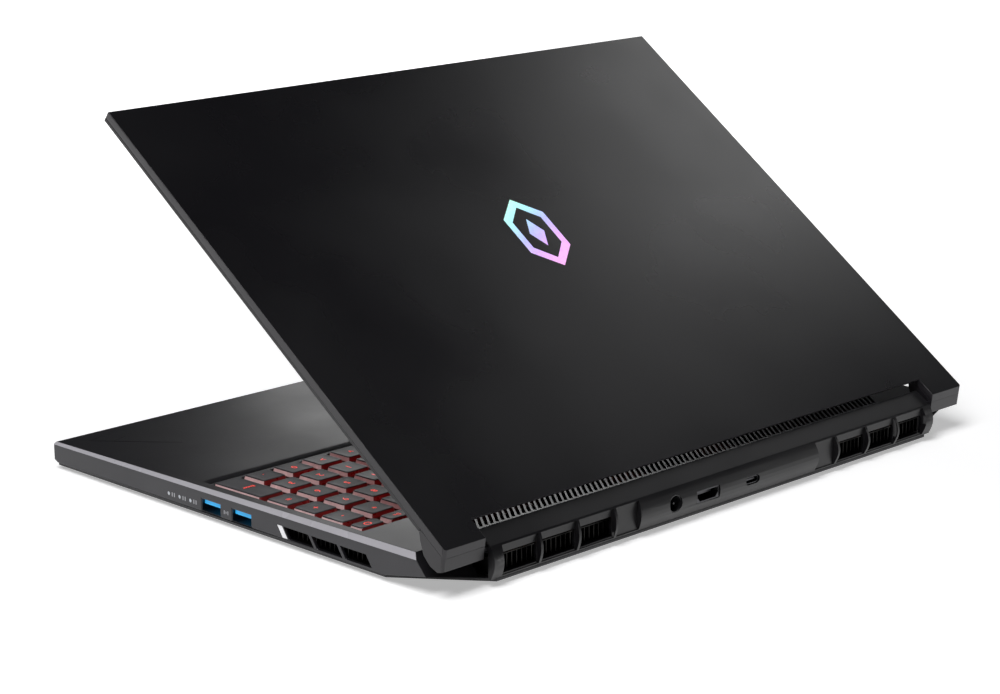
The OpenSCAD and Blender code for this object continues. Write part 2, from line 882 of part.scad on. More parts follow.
module touchpad_frame() {
    color("#4a4c52")
    on_deck() difference() {
        box(pad_x - pad_w / 2 - 3, pad_x + pad_w / 2 + 3, -pad_front - 3, -pad_rear + 3,
            -wall - 1.1, -wall - 0.4);
        box(pad_x - pad_w / 2 + 8, pad_x + pad_w / 2 - 8, -pad_front + 8, -pad_rear - 8,
            -wall - 3, -wall);
    }
}

// ---------- ports ----------

// an open metal shell, mouth at x = 0
module port_shell(w, h, depth) {
    difference() {
        translate([-depth, -w / 2 - shell_t, -h / 2 - shell_t])
            cube([depth - 0.3, w + 2 * shell_t, h + 2 * shell_t]);
        translate([-depth + 1.5, -w / 2, -h / 2]) cube([depth, w, h]);
    }
}

module usb_ports() {
    color("#9a9ca1") each_usb() port_shell(usb_w, usb_h, shell_d);
}

module usb_tongues() {
    color("#2456b8")
    each_usb()
        translate([-shell_d + 1.5, -usb_w / 2 + 0.6, usb_h / 2 - 2.4])
            cube([shell_d - 3, usb_w - 1.2, 1.9]);
}

module power_inlet() {
    depth = 9;
    back = rear_y - face_t;
    z = rear_port_z + 0.6;
    color("#151517")
    difference() {
        union() {
            box(inlet_x - inlet_r - 1.4, inlet_x + inlet_r + 1.4, back - depth, back,
                board_top, z + inlet_r + 0.9);
            translate([inlet_x, back - 1, z]) rotate([-90, 0, 0])
                cylinder(h = face_t + 0.2, r = inlet_r + 0.4);
        }
        translate([inlet_x, back - depth + 1.5, z]) rotate([-90, 0, 0])
            cylinder(h = depth + face_t, r = inlet_r);
    }
    color("#c9c9cc")
    translate([inlet_x, back - depth + 1, z]) rotate([-90, 0, 0])
        cylinder(h = depth + 1.5, r = 0.5);
}

module video_port() {
    z = rear_port_z;
    color("#a5a6aa")
    translate([wide_port_x, rear_y - 0.8, z]) difference() {
        translate([-7.6, -12, -2.8]) cube([15.2, 12, 5.6]);
        translate([0, -10.5, 0]) along(0, 14, [
            [-7.1, 2.3], [7.1, 2.3], [7.1, -0.4], [5.4, -2.3], [-5.4, -2.3], [-7.1, -0.4]
        ]);
    }
    color("#151517")
    translate([wide_port_x - 5.6, rear_y - 11.4, z - 0.2]) cube([11.2, 7.5, 1]);
}

module usb_c_port() {
    color("#8e9095")
    translate([small_port_x, rear_y - 0.8, rear_port_z]) rotate([90, 0, 0]) difference() {
        capsule(9.0, 3.2, 9);
        translate([0, 0, -1]) capsule(8.4, 2.6, 8.5);
    }
    color("#151517")
    translate([small_port_x - 3.2, rear_y - 8.5, rear_port_z - 0.35]) cube([6.4, 6.5, 0.7]);
}

module network_port() {
    color("#1a1a1c")
    usb_place(-1, port_y + port_pitch) port_shell(network_w, usb_h, shell_d);
    color("#c8a850")
    usb_place(-1, port_y + port_pitch)
        for (i = [-3.5 : 3.5])
            translate([-shell_d + 1.4, i * 1.02 - 0.2, usb_h / 2 - 1]) cube([9, 0.4, 0.5]);
}

module headset_jack() {
    color("#1a1a1c")
    usb_place(-1, headset_y) difference() {
        union() {
            translate([-14, -audio_r - 1.6, -audio_r - 1.4])
                cube([14 - wall, 2 * audio_r + 3.2, 2 * audio_r + 2.8]);
            rotate([0, -90, 0]) translate([0, 0, 0.2]) cylinder(h = wall, r = audio_r + 1.2);
        }
        rotate([0, -90, 0]) translate([0, 0, -1]) cylinder(h = 14, r = audio_r);
    }
}

module status_lights() {
    color("#d8e4ff")
    for (i = [0 : 2])
        usb_place(1, light_y + i * 8) rotate([0, -90, 0]) translate([0, 0, 0.1])
            cylinder(h = 2.2, r = 0.9);
}

// ---------- hinge ----------

module hinge_brackets() {
    color("#7d7f85")
    both_sides()
        difference() {
            union() {
                translate([cap_half - wall - 0.4 - knuckle_len, hinge_y, hinge_z])
                    rotate([0, 90, 0]) cylinder(h = knuckle_len, r = knuckle_r);
                box(cap_half - wall - 0.4 - knuckle_len, cap_half - wall - 0.4, deck_end - 8,
                    hinge_y, deck_z(deck_end - 8) - wall - 1.7, deck_z(deck_end - 8) - wall - 0.3);
            }
            translate([cap_half - wall - 1.4 - knuckle_len, hinge_y, hinge_z])
                rotate([0, 90, 0]) cylinder(h = knuckle_len + 2, r = shaft_r + shaft_clear);
        }
}

module hinge_arms() {
    color("#8c8e94")
    on_lid() both_sides() {
        translate([cap_half - wall - 0.4 - knuckle_len, 0, 0]) rotate([0, 90, 0])
            cylinder(h = arm_x + arm_w - cap_half + wall + 0.4 + knuckle_len, r = shaft_r);
        box(arm_x, arm_x + arm_w, -ear_front + 4, -0.4 * shaft_r, -1.6, bezel_top + 1.5);
        box(arm_x, arm_x + arm_w, -40, -ear_front + 5, bezel_top + 0.3, bezel_top + 1.5);
    }
}

// ---------- lid ----------

// room for a hinge arm, in the lid's right half
module arm_room() {
    box(arm_x, arm_x + arm_w, -ear_front - 1, -ear_front + 4 + e, bezel_top, bezel_top + 1.6);
    box(arm_x, arm_x + arm_w, -ear_front + 4, -0.4 * shaft_r, -1.6, bezel_top + 1.5);
    translate([ear_in - 1, 0, 0]) rotate([0, 90, 0])
        cylinder(h = arm_x + arm_w - ear_in + 1, r = shaft_r);
}

module hinge_caps() {
    color("#2c2a2f")
    on_lid() both_sides() difference() {
        across(ear_in, side_x, [
            [-ear_front, bezel_top], [-ear_front, lid_in], [-ear_front + 2.3, -1.3],
            [-7.9, -ear_drop + 0.9], [-2.4, -ear_drop], [2.0, -ear_drop + 1.1],
            [ear_back, -ear_low], [seam_y, bezel_top]
        ]);
        arm_room();
    }
}

module lid_cover() {
    color("#17151a")
    on_lid() difference() {
        union() {
            // skin and rim
            across(-side_x, side_x, [
                [-lid_len, bezel_top], [-notch - seam_lean, bezel_top], [-notch, lid_out],
                [-lid_len, lid_out]
            ]);
            both_sides() across(ear_in, side_x, [
                [-ear_front, bezel_top], [seam_y, bezel_top], [lid_end, lid_out],
                [-ear_front, lid_out]
            ]);
        }
        // the hollow behind the display
        box(-side_x + wall, side_x - wall, -lid_len + wall, -ear_front - e, bezel_top - 1,
            lid_out - lid_skin);
        box(-ear_in + 2, ear_in - 2, -ear_front - 1, -notch - seam_lean - 1, bezel_top - 1,
            lid_out - lid_skin);
        both_sides() arm_room();
        // shallow seat of the emblem
        translate([0, emblem_y, lid_out - emblem_depth]) linear_extrude(1) emblem_shape();
    }
}

// corners of an upright hexagon or diamond, n-sided, w wide and h high
function upright(n, w, h) =
    [for (i = [0 : n - 1]) [w / 2 * cos(360 * i / n + 90) / cos(n == 6 ? 30 : 0),
        h / 2 * sin(360 * i / n + 90)]];

// a plain six-sided ring around a diamond
module emblem_shape() {
    difference() {
        polygon(upright(6, emblem_w, emblem_h));
        polygon(upright(6, emblem_w * 0.72, emblem_h * 0.76));
    }
    polygon(upright(4, emblem_w * 0.36, emblem_h * 0.4));
}

module lid_emblem() {
    color("#b9c4f2")
    on_lid() translate([0, emblem_y, lid_out - emblem_depth])
        linear_extrude(emblem_depth + 0.05) emblem_shape();
}

module display_bezel() {
    color("#0f0e11")
    on_lid() difference() {
        union() {
            box(-side_x, side_x, -lid_len, -ear_front - 0.3, lid_in, bezel_top);
            across(-ear_in + 0.3, ear_in - 0.3, [
                [-ear_front - 1, lid_in], [-notch - edge_lean, lid_in],
                [-notch - seam_lean, bezel_top], [-ear_front - 1, bezel_top]
            ]);
        }
        // display opening, and the step that its panel lies in
        box(-screen_w / 2, screen_w / 2, -screen_top, -screen_top + screen_h, lid_in - 1,
            bezel_top + 1);
        box(-screen_w / 2 - panel_edge, screen_w / 2 + panel_edge, -screen_top - panel_edge,
            -screen_top + screen_h + panel_edge, lid_in + lens_t, bezel_top + 1);
        // camera opening, with the module's seat behind it
        translate([0, camera_y, lid_in - 1]) cylinder(h = 4, r = 2.2);
        box(-22, 22, camera_y - 2.4, camera_y + 2.6, lid_in + lens_t, bezel_top + 1);
    }
}

module display_panel() {
    color("#08090b")
    on_lid() box(-screen_w / 2 - panel_edge, screen_w / 2 + panel_edge, -screen_top - panel_edge,
        -screen_top + screen_h + panel_edge, lid_in + lens_t, bezel_top + panel_t);
}

module camera_module() {
    color("#1c1d22")
    on_lid() {
        box(-21.8, 21.8, camera_y - 2.2, camera_y + 2.2, lid_in + lens_t, bezel_top + 1);
        translate([0, camera_y, lid_in + 0.2]) cylinder(h = 1.5, r = 2.1);
    }
}

module lid_bumpers() {
    color("#0c0c0d")
    on_lid() both_sides() {
        translate([side_x - 12, -lid_len + 4.5, lid_in - lid_gap + 0.15])
            capsule(9, 3, lid_gap - 0.15);
        translate([side_x * 0.45, -lid_len + 4.5, lid_in - lid_gap + 0.15])
            capsule(9, 3, lid_gap - 0.15);
    }
}

bottom_cover();
top_cover();
rear_cap();
rubber_feet();
bottom_screws();
motherboard();
processor_chips();
memory_modules();
storage_drives();
wireless_card();
battery_pack();
speakers();
heat_pipes();
cold_plates();
fin_stacks();
fan_housings();
keyboard_plate();
key_membrane();
touchpad_frame();
usb_ports();
usb_tongues();
power_inlet();
video_port();
usb_c_port();
network_port();
headset_jack();
status_lights();
hinge_brackets();
fan_rotor_left();
fan_rotor_right();
touchpad();
lid_cover();
hinge_caps();
display_bezel();
display_panel();
camera_module();
hinge_arms();
lid_emblem();
lid_bumpers();
keys_function_row();
key_power();
keys_number_row();
key_backspace();
keys_upper_row();
key_tab();
keys_home_row();
key_caps_lock();
key_enter();
keys_lower_row();
key_left_shift();
key_right_shift();
keys_bottom_row();
key_space();
key_numpad_enter();
key_up();
key_left();
key_down();
key_right();
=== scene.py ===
import json
import math

import bmesh
import bpy
from mathutils import Matrix, Vector


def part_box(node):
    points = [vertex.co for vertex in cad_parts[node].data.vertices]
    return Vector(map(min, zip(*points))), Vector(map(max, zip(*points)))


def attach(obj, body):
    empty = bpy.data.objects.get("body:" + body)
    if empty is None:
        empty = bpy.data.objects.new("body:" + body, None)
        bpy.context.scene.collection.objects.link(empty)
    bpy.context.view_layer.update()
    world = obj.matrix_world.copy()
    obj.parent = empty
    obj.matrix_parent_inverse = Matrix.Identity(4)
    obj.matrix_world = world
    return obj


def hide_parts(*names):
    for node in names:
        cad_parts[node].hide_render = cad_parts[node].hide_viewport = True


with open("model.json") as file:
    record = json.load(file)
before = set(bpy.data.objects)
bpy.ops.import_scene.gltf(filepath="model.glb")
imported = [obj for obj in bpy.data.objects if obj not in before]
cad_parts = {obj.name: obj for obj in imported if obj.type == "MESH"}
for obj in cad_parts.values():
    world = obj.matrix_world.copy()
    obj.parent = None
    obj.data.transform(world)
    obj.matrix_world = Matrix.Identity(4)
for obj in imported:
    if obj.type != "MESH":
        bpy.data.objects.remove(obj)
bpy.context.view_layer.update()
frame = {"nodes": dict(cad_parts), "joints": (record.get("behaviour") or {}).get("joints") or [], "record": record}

# ---------- frame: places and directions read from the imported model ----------

MM = 0.001
WELD = 0.002 * MM  # corners closer than this are one corner
FLAT = math.radians(0.6)  # facets that bend less than this are one face
SHARP = math.radians(28)  # edges that bend more than this can be rounded
NODES = frame["nodes"]
JOINTS = {j["name"]: j for j in frame["joints"]}
HINGE = Vector(JOINTS["lid_hinge"]["pos_m"])
SIDE_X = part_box("top_cover")[1].x
FRONT_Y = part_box("top_cover")[0].y


def axes_from(normal):
    """Columns x, y, z of a frame whose x is the row's x and whose z is normal."""
    z = Vector(normal).normalized()
    y = z.cross(Vector((1, 0, 0))).normalized()
    return Matrix((Vector((1, 0, 0)), y, z)).transposed()


# the deck's frame: z is against the keys' stroke
DECK_AXES = axes_from(-Vector(JOINTS["key_space_press"]["axis"]))
DECK = Matrix.Translation(HINGE) @ DECK_AXES.to_4x4()


def lid_frame():
    """The lid's frame on its hinge axis: z is the outer face's normal."""
    low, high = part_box("display_panel")
    rise = (high.z - low.z) / (high.y - low.y)
    return Matrix.Translation(HINGE) @ axes_from((0, rise, 1)).to_4x4()


LID = lid_frame()


def span(node, place):
    """Lowest and highest corner of a node, measured in the frame called place."""
    inverse = place.inverted()
    points = [inverse @ v.co for v in NODES[node].data.vertices]
    return (Vector([min(p[i] for p in points) for i in range(3)]),
            Vector([max(p[i] for p in points) for i in range(3)]))


# ---------- procedural materials ----------

class Nodes:
    """A small helper that builds one material's node tree."""

    def __init__(self, name):
        self.mat = bpy.data.materials.new(name)
        self.mat.use_nodes = True
        self.tree = self.mat.node_tree
        self.shader = self.tree.nodes["Principled BSDF"]
        self.place = self.add("ShaderNodeTexCoord").outputs["Object"]

    def add(self, kind, **values):
        node = self.tree.nodes.new(kind)
        for key, value in values.items():
            setattr(node, key, value)
        return node

    def link(self, out, into):
        self.tree.links.new(out, into)

    def noise(self, scale, detail=3.0, stretch=(1, 1, 1)):
        mapping = self.add("ShaderNodeMapping")
        mapping.inputs["Scale"].default_value = stretch
        self.link(self.place, mapping.inputs["Vector"])
        node = self.add("ShaderNodeTexNoise")
        node.inputs["Scale"].default_value = scale
        node.inputs["Detail"].default_value = detail
        self.link(mapping.outputs["Vector"], node.inputs["Vector"])
        return node.outputs["Fac"]

    def cells(self, scale):
        node = self.add("ShaderNodeTexVoronoi")
        node.inputs["Scale"].default_value = scale
        self.link(self.place, node.inputs["Vector"])
        return node.outputs["Distance"]

    def span(self, value, low, high, new_low, new_high):
        node = self.add("ShaderNodeMapRange")
        for key, number in (("From Min", low), ("From Max", high),
                            ("To Min", new_low), ("To Max", new_high)):
            node.inputs[key].default_value = number
        self.link(value, node.inputs["Value"])
        return node.outputs["Result"]

    def ramp(self, value, stops):
        node = self.add("ShaderNodeValToRGB")
        ramp = node.color_ramp
        while len(ramp.elements) < len(stops):
            ramp.elements.new(0.5)
        for element, (place, color) in zip(ramp.elements, stops):
            element.position = place
            element.color = (*color, 1)
        self.link(value, node.inputs["Fac"])
        return node.outputs["Color"]

    def bump(self, height, strength, distance):
        node = self.add("ShaderNodeBump")
        node.inputs["Strength"].default_value = strength
        node.inputs["Distance"].default_value = distance
        self.link(height, node.inputs["Height"])
        return node.outputs["Normal"]

    def set(self, **values):
        for key, value in values.items():
            self.shader.inputs[key.replace("_", " ")].default_value = value


def shade(color, factor):
    """The colour made lighter or darker by factor."""
    return tuple(min(1.0, c * factor) for c in color)


def plastic(name, color, rough, grain=0.16, spread=0.12, coarse=60.0):
    """Moulded or painted plastic: fine moulded grain, faint clouding, and uneven gloss."""
    n = Nodes(name)
    clouds = n.noise(coarse, 4.0)
    n.link(n.ramp(clouds, [(0.3, shade(color, 1 - spread)), (0.7, shade(color, 1 + spread))]),
           n.shader.inputs["Base Color"])
    smudge = n.noise(coarse * 0.4, 5.0)
    n.link(n.span(smudge, 0.3, 0.7, rough - 0.05, rough + 0.06), n.shader.inputs["Roughness"])
    n.link(n.bump(n.noise(2600.0, 2.0), grain, 0.12 * MM), n.shader.inputs["Normal"])
    n.set(Specular_IOR_Level=0.5)
    return n.mat


def metal(name, color, rough, stretch=(1, 40, 40), scale=90.0, metallic=1.0):
    """Sheet or turned metal with fine brush lines along one direction."""
    n = Nodes(name)
    lines = n.noise(scale, 4.0, stretch)
    n.link(n.ramp(lines, [(0.25, shade(color, 0.82)), (0.75, shade(color, 1.12))]),
           n.shader.inputs["Base Color"])
    n.link(n.span(lines, 0.2, 0.8, rough - 0.06, rough + 0.08), n.shader.inputs["Roughness"])
    n.link(n.bump(lines, 0.12, 0.08 * MM), n.shader.inputs["Normal"])
    n.set(Metallic=metallic)
    return n.mat


def rubber(name, color):
    """Dull rubber with a pebbled surface."""
    n = Nodes(name)
    n.link(n.ramp(n.noise(400.0), [(0.3, shade(color, 0.7)), (0.7, shade(color, 1.35))]),
           n.shader.inputs["Base Color"])
    n.link(n.span(n.noise(90.0), 0.3, 0.7, 0.7, 0.9), n.shader.inputs["Roughness"])
    n.link(n.bump(n.cells(1500.0), 0.3, 0.1 * MM), n.shader.inputs["Normal"])
    n.set(Specular_IOR_Level=0.3)
    return n.mat


def lit(name, color, glow, strength, rough=0.3, low=0.75):
    """Clear or tinted plastic that its backlight fills, brighter in places; on the data ports' tongues, which have
    no light behind them, the glow is a painted highlight.
    """
    n = Nodes(name)
    patches = n.noise(160.0, 2.0)
    n.link(n.ramp(patches, [(0.3, shade(color, 0.85)), (0.7, shade(color, 1.1))]),
           n.shader.inputs["Base Color"])
    n.link(n.span(patches, 0.3, 0.7, rough - 0.05, rough + 0.08), n.shader.inputs["Roughness"])
    n.link(n.ramp(n.noise(75.0), [(0.35, shade(glow, low)), (0.65, glow)]),
           n.shader.inputs["Emission Color"])
    n.set(Emission_Strength=strength)
    return n.mat


def emblem_film():
    """Iridescent film that runs from pale green over lavender to pink across the emblem, and glows with these
    colours as a painted reflection.
    """
    n = Nodes("emblem_film")
    low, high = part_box("lid_emblem")
    split = n.add("ShaderNodeSeparateXYZ")
    n.link(n.place, split.inputs["Vector"])
    across = n.span(split.outputs["X"], low.x, high.x, 1.0, 0.0)
    up = n.span(split.outputs["Z"], low.z, high.z, 1.0, 0.0)
    slant = 0.3
    total = n.add("ShaderNodeMath", operation="MULTIPLY_ADD")
    total.inputs[1].default_value = slant
    n.link(across, total.inputs[0])
    n.link(up, total.inputs[2])
    stops = [(0.1, (0.55, 0.98, 0.78)), (0.35, (0.42, 0.86, 0.93)), (0.6, (0.47, 0.5, 0.95)),
             (0.85, (0.74, 0.42, 0.95)), (1.15, (0.95, 0.45, 0.85))]
    reach = 1.0 + slant
    color = n.ramp(n.span(total.outputs[0], 0.0, reach, 0.0, 1.0),
                   [(place / reach, tint) for place, tint in stops])
    n.link(color, n.shader.inputs["Base Color"])
    n.link(color, n.shader.inputs["Emission Color"])
    n.link(n.span(n.noise(300.0), 0.3, 0.7, 0.22, 0.34), n.shader.inputs["Roughness"])
    # the film's glow is a painted reflection; no light is behind the badge
    n.set(Emission_Strength=0.42, Coat_Weight=0.3)
    return n.mat


def circuit_board(name, color):
    """Solder mask with tracks seen as fine square lines."""
    n = Nodes(name)
    tracks = n.add("ShaderNodeTexBrick")
    tracks.inputs["Scale"].default_value = 160.0
    tracks.inputs["Mortar Size"].default_value = 0.03
    tracks.inputs["Color1"].default_value = (*color, 1)
    tracks.inputs["Color2"].default_value = (*shade(color, 0.8), 1)
    tracks.inputs["Mortar"].default_value = (*shade(color, 1.8), 1)
    n.link(n.place, tracks.inputs["Vector"])
    n.link(tracks.outputs["Color"], n.shader.inputs["Base Color"])
    n.link(n.span(n.noise(200.0), 0.3, 0.7, 0.35, 0.5), n.shader.inputs["Roughness"])
    n.link(n.bump(tracks.outputs["Fac"], 0.2, 0.1 * MM), n.shader.inputs["Normal"])
    return n.mat


def screen_glass():
    """Dark anti-glare panel with a very fine matte texture."""
    n = Nodes("screen_glass")
    n.link(n.ramp(n.noise(12.0, 5.0), [(0.3, (0.004, 0.0045, 0.006)), (0.7, (0.008, 0.0085, 0.01))]),
           n.shader.inputs["Base Color"])
    n.link(n.span(n.noise(30.0, 5.0), 0.3, 0.7, 0.2, 0.27), n.shader.inputs["Roughness"])
    n.link(n.bump(n.noise(5000.0, 1.0), 0.06, 0.05 * MM), n.shader.inputs["Normal"])
    return n.mat


MATS = {
    "lid_plastic": plastic("lid_plastic", (0.0030, 0.0027, 0.0038), 0.29, 0.05, 0.02, 25.0),
    "lid_edge": plastic("lid_edge", (0.014, 0.0126, 0.0154), 0.34, 0.12, 0.1, 60.0),
    "hinge_cap_plastic": plastic("hinge_cap_plastic", (0.012, 0.0108, 0.0132), 0.34, 0.12, 0.1, 60.0),
    "deck_plastic": plastic("deck_plastic", (0.007, 0.0066, 0.0082), 0.35, 0.10, 0.05, 30.0),
    "side_plastic": plastic("side_plastic", (0.019, 0.018, 0.022), 0.36, 0.12, 0.1, 50.0),
    # polished bevel trim, given a much lighter grey than the dark plastics so that it also carries a painted
    # highlight for the light the bevel catches
    "bevel_trim_and_highlight": plastic("bevel_trim_and_highlight", (0.40, 0.39, 0.42), 0.26, 0.05, 0.015, 80.0),
    "rear_plastic": plastic("rear_plastic", (0.0042, 0.0039, 0.0048), 0.33, 0.10, 0.04, 50.0),
    "bottom_plastic": plastic("bottom_plastic", (0.018, 0.0175, 0.02), 0.55, 0.3, 0.15, 70.0),
    "bezel_plastic": plastic("bezel_plastic", (0.012, 0.0115, 0.0125), 0.48, 0.25, 0.1, 60.0),
    "keycap_plastic": plastic("keycap_plastic", (0.026, 0.026, 0.030), 0.42, 0.2, 0.12, 120.0),
    "touchpad_plastic": plastic("touchpad_plastic", (0.033, 0.032, 0.036), 0.28, 0.06, 0.08, 30.0),
    "fan_plastic": plastic("fan_plastic", (0.012, 0.012, 0.013), 0.4),
    "speaker_plastic": plastic("speaker_plastic", (0.016, 0.016, 0.018), 0.5),
    "battery_wrap": plastic("battery_wrap", (0.012, 0.0125, 0.014), 0.45),
    "chip_silicon": plastic("chip_silicon", (0.03, 0.032, 0.038), 0.2),
    "drive_board": plastic("drive_board", (0.018, 0.02, 0.024), 0.4),
    "port_black": plastic("port_black", (0.008, 0.008, 0.009), 0.3),
    # the data ports' blue tongues glow though no light is behind them: a painted highlight
    "port_blue": lit("port_blue", (0.01, 0.36, 0.75), (0.01, 0.42, 0.9), 0.4, 0.22),
    "camera_body": plastic("camera_body", (0.006, 0.006, 0.008), 0.12),
    "recess_black": plastic("recess_black", (0.006, 0.006, 0.0065), 0.6),
    "foot_rubber": rubber("foot_rubber", (0.012, 0.012, 0.013)),
    "bumper_rubber": rubber("bumper_rubber", (0.016, 0.016, 0.017)),
    "membrane_red": lit("membrane_red", (0.012, 0.004, 0.005), (0.5, 0.01, 0.01), 0.02, 0.55),
    # the keys' clear sides come in two painted copies: pale on sides along x as painted light, deep red on sides
    # along y as painted shade; both glow with the red backlight
    "key_side_pale_painted_light": lit("key_side_pale_painted_light", (0.66, 0.50, 0.50), (0.8, 0.2, 0.2), 0.10, 0.22),
    "key_side_red_painted_shade": lit("key_side_red_painted_shade", (0.11, 0.014, 0.014), (0.6, 0.012, 0.012), 0.10, 0.3, 0.4),
    "key_legend": lit("key_legend", (0.8, 0.06, 0.04), (1.0, 0.05, 0.025), 0.8, 0.4),
    "light_lens": lit("light_lens", (0.5, 0.52, 0.56), (0.8, 0.9, 1.0), 0.04, 0.2),
    "side_mark": plastic("side_mark", (0.34, 0.34, 0.36), 0.5, 0.05, 0.15, 300.0),
    "port_steel": metal("port_steel", (0.09, 0.09, 0.095), 0.34),
    "contact_gold": metal("contact_gold", (0.85, 0.62, 0.26), 0.25),
    "screw_steel": metal("screw_steel", (0.3, 0.3, 0.31), 0.32),
    "hinge_steel": metal("hinge_steel", (0.12, 0.12, 0.13), 0.35, (40, 1, 40)),
    "plate_aluminium": metal("plate_aluminium", (0.42, 0.43, 0.45), 0.4),
    # cooling fins coloured near black: painted shade for the dark inside of the vent windows
    "fin_aluminium": metal("fin_aluminium", (0.03, 0.029, 0.028), 0.45, (1, 1, 30)),
    "pipe_copper": metal("pipe_copper", (0.72, 0.36, 0.2), 0.3),
    "vent_accent": metal("vent_accent", (0.8, 0.8, 0.82), 0.3, (40, 1, 1), 90.0, 0.6),
    "circuit_board": circuit_board("circuit_board", (0.012, 0.06, 0.035)),
    "memory_board": circuit_board("memory_board", (0.015, 0.09, 0.05)),
    "radio_board": circuit_board("radio_board", (0.02, 0.09, 0.25)),
    "screen_glass": screen_glass(),
    "emblem_film": emblem_film(),
}

# ---------- mesh helpers ----------


def node_mesh(node):
    """A node's mesh with its split corners joined and its flat faces whole."""
    bm = bmesh.new()
    bm.from_mesh(NODES[node].data)
    bmesh.ops.remove_doubles(bm, verts=bm.verts, dist=WELD)
    bmesh.ops.dissolve_limit(bm, angle_limit=FLAT, verts=bm.verts, edges=bm.edges)
    return bm


def round_edges(bm, offset, chosen=lambda edge: True, min_length=1.5, segments=2):
    """Rounds the sharp edges that chosen keeps; offset and min_length are in millimetres."""
    edges = [e for e in bm.edges
             if e.is_manifold and e.calc_length() > min_length * MM
             and e.calc_face_angle() > SHARP and chosen(e)]
    bmesh.ops.bevel(bm, geom=edges, offset=offset * MM, segments=segments, profile=0.6,
                    affect="EDGES", clamp_overlap=False)


def piece(bm, name, body, mats, nodes=(), smooth=32):
    """Makes the piece, gives it its materials, ties it to its body, and hides the nodes it stands in for."""
    mesh = bpy.data.meshes.new(name)
    bm.normal_update()
    bm.to_mesh(mesh)
    bm.free()
    for mat in mats:
        mesh.materials.append(MATS[mat])
    mesh.shade_smooth()
    mesh.set_sharp_from_angle(angle=math.radians(smooth))
    obj = bpy.data.objects.new(name, mesh)
    bpy.context.scene.collection.objects.link(obj)
    weighted = obj.modifiers.new("even_normals", "WEIGHTED_NORMAL")
    weighted.keep_sharp = True
    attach(obj, body)
    if nodes:
        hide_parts(*nodes)
    return obj


def block(bm, low, high, place=Matrix.Identity(4), index=0):
    """A box between two corners given in the frame called place."""
    low, high = Vector(low), Vector(high)
    made = bmesh.ops.create_cube(bm, size=1.0)["verts"]
    for v in made:
        v.co = place @ Vector([(low[i] + high[i]) / 2 + v.co[i] * (high[i] - low[i])
                               for i in range(3)])
    for face in {f for v in made for f in v.link_faces}:
        face.material_index = index


def prism(bm, points, place, thick, index=0):
    """A flat shape from 2-D points, thick along the frame's z, seen as a closed solid."""
    rings = [[bm.verts.new(place @ Vector((x, y, z))) for x, y in points] for z in (0, thick)]
    count = len(points)
    faces = [bm.faces.new(list(reversed(rings[0]))), bm.faces.new(rings[1])]
    for i in range(count):
        j = (i + 1) % count
        faces.append(bm.faces.new((rings[0][i], rings[0][j], rings[1][j], rings[1][i])))
    for face in faces:
        face.material_index = index
    bmesh.ops.recalc_face_normals(bm, faces=faces)


def rounded_rect(x0, x1, y0, y1, r, steps=4):
    """Points round a rectangle with rounded corners."""
    points = []
    for cx, cy, start in ((x1 - r, y1 - r, 0), (x0 + r, y1 - r, 90),
                          (x0 + r, y0 + r, 180), (x1 - r, y0 + r, 270)):
        for i in range(steps + 1):
            a = math.radians(start + 90 * i / steps)
            points.append((cx + r * math.cos(a), cy + r * math.sin(a)))
    return points


def circle(x, y, r, count):
    """Points round a circle."""
    return [(x + r * math.cos(a), y + r * math.sin(a))
            for a in (2 * math.pi * k / count for k in range(count))]


def islands(node):
    """The separate solids of a node, each as a list of points."""
    bm = node_mesh(node)
    seen, groups = set(), []
    for start in bm.verts:
        if start in seen:
            continue
        stack, group = [start], []
        seen.add(start)
        while stack:
            v = stack.pop()
            group.append(v.co.copy())
            for e in v.link_edges:
                other = e.other_vert(v)
                if other not in seen:
                    seen.add(other)
                    stack.append(other)
        groups.append(group)
    bm.free()
    return groups


# ---------- shells ----------

EAR_R = 1.5  # rounding of the ears' outer corners, in mm


def deck_shell():
    """Top cover: dark deck, lighter side walls, and the bright bevel that runs along both sides, its light trim
    colour partly a painted highlight.
    """
    bm = node_mesh("top_cover")
    round_edges(bm, 0.28, lambda e: min(abs(v.co.x) for v in e.verts) > SIDE_X - 3 * MM
                or min(v.co.y for v in e.verts) < FRONT_Y + 2 * MM)
    bm.normal_update()
    for face in bm.faces:
        n, c = face.normal, face.calc_center_median()
        outer = abs(c.x) > SIDE_X - 3.2 * MM
        # faces that tilt up on the side bevel get the light trim colour, partly a painted highlight
        if outer and abs(n.x) > 0.35 and n.z > 0.35 and abs(n.y) < 0.3:
            face.material_index = 2
        elif (outer and abs(n.x) > 0.9) or (n.y < -0.6 and c.y < FRONT_Y + 3 * MM):
            face.material_index = 1
    return piece(bm, "deck_shell", "base",
                 ("deck_plastic", "side_plastic", "bevel_trim_and_highlight"), ["top_cover"])


def rear_shell():
    """Rear cap: hinge cover, exhaust windows and port face, with softened edges."""
    bm = node_mesh("rear_cap")
    round_edges(bm, 0.25, min_length=2.5)
    return piece(bm, "rear_shell", "base", ("rear_plastic",), ["rear_cap"])


def bottom_shell():
    """Bottom cover with its outer edges softened."""
    bm = node_mesh("bottom_cover")
    edge_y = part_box("bottom_cover")[0].y
    round_edges(bm, 0.3, lambda e: e.calc_length() > 20 * MM
                or min(v.co.y for v in e.verts) < edge_y)
    return piece(bm, "bottom_shell", "base", ("bottom_plastic",),
                 ["bottom_cover"])


def feet():
    """Rubber feet with rounded rims."""
    bm = node_mesh("rubber_feet")
    round_edges(bm, 0.4, min_length=0.3)
    return piece(bm, "feet", "base", ("foot_rubber",), ["rubber_feet"], 50)


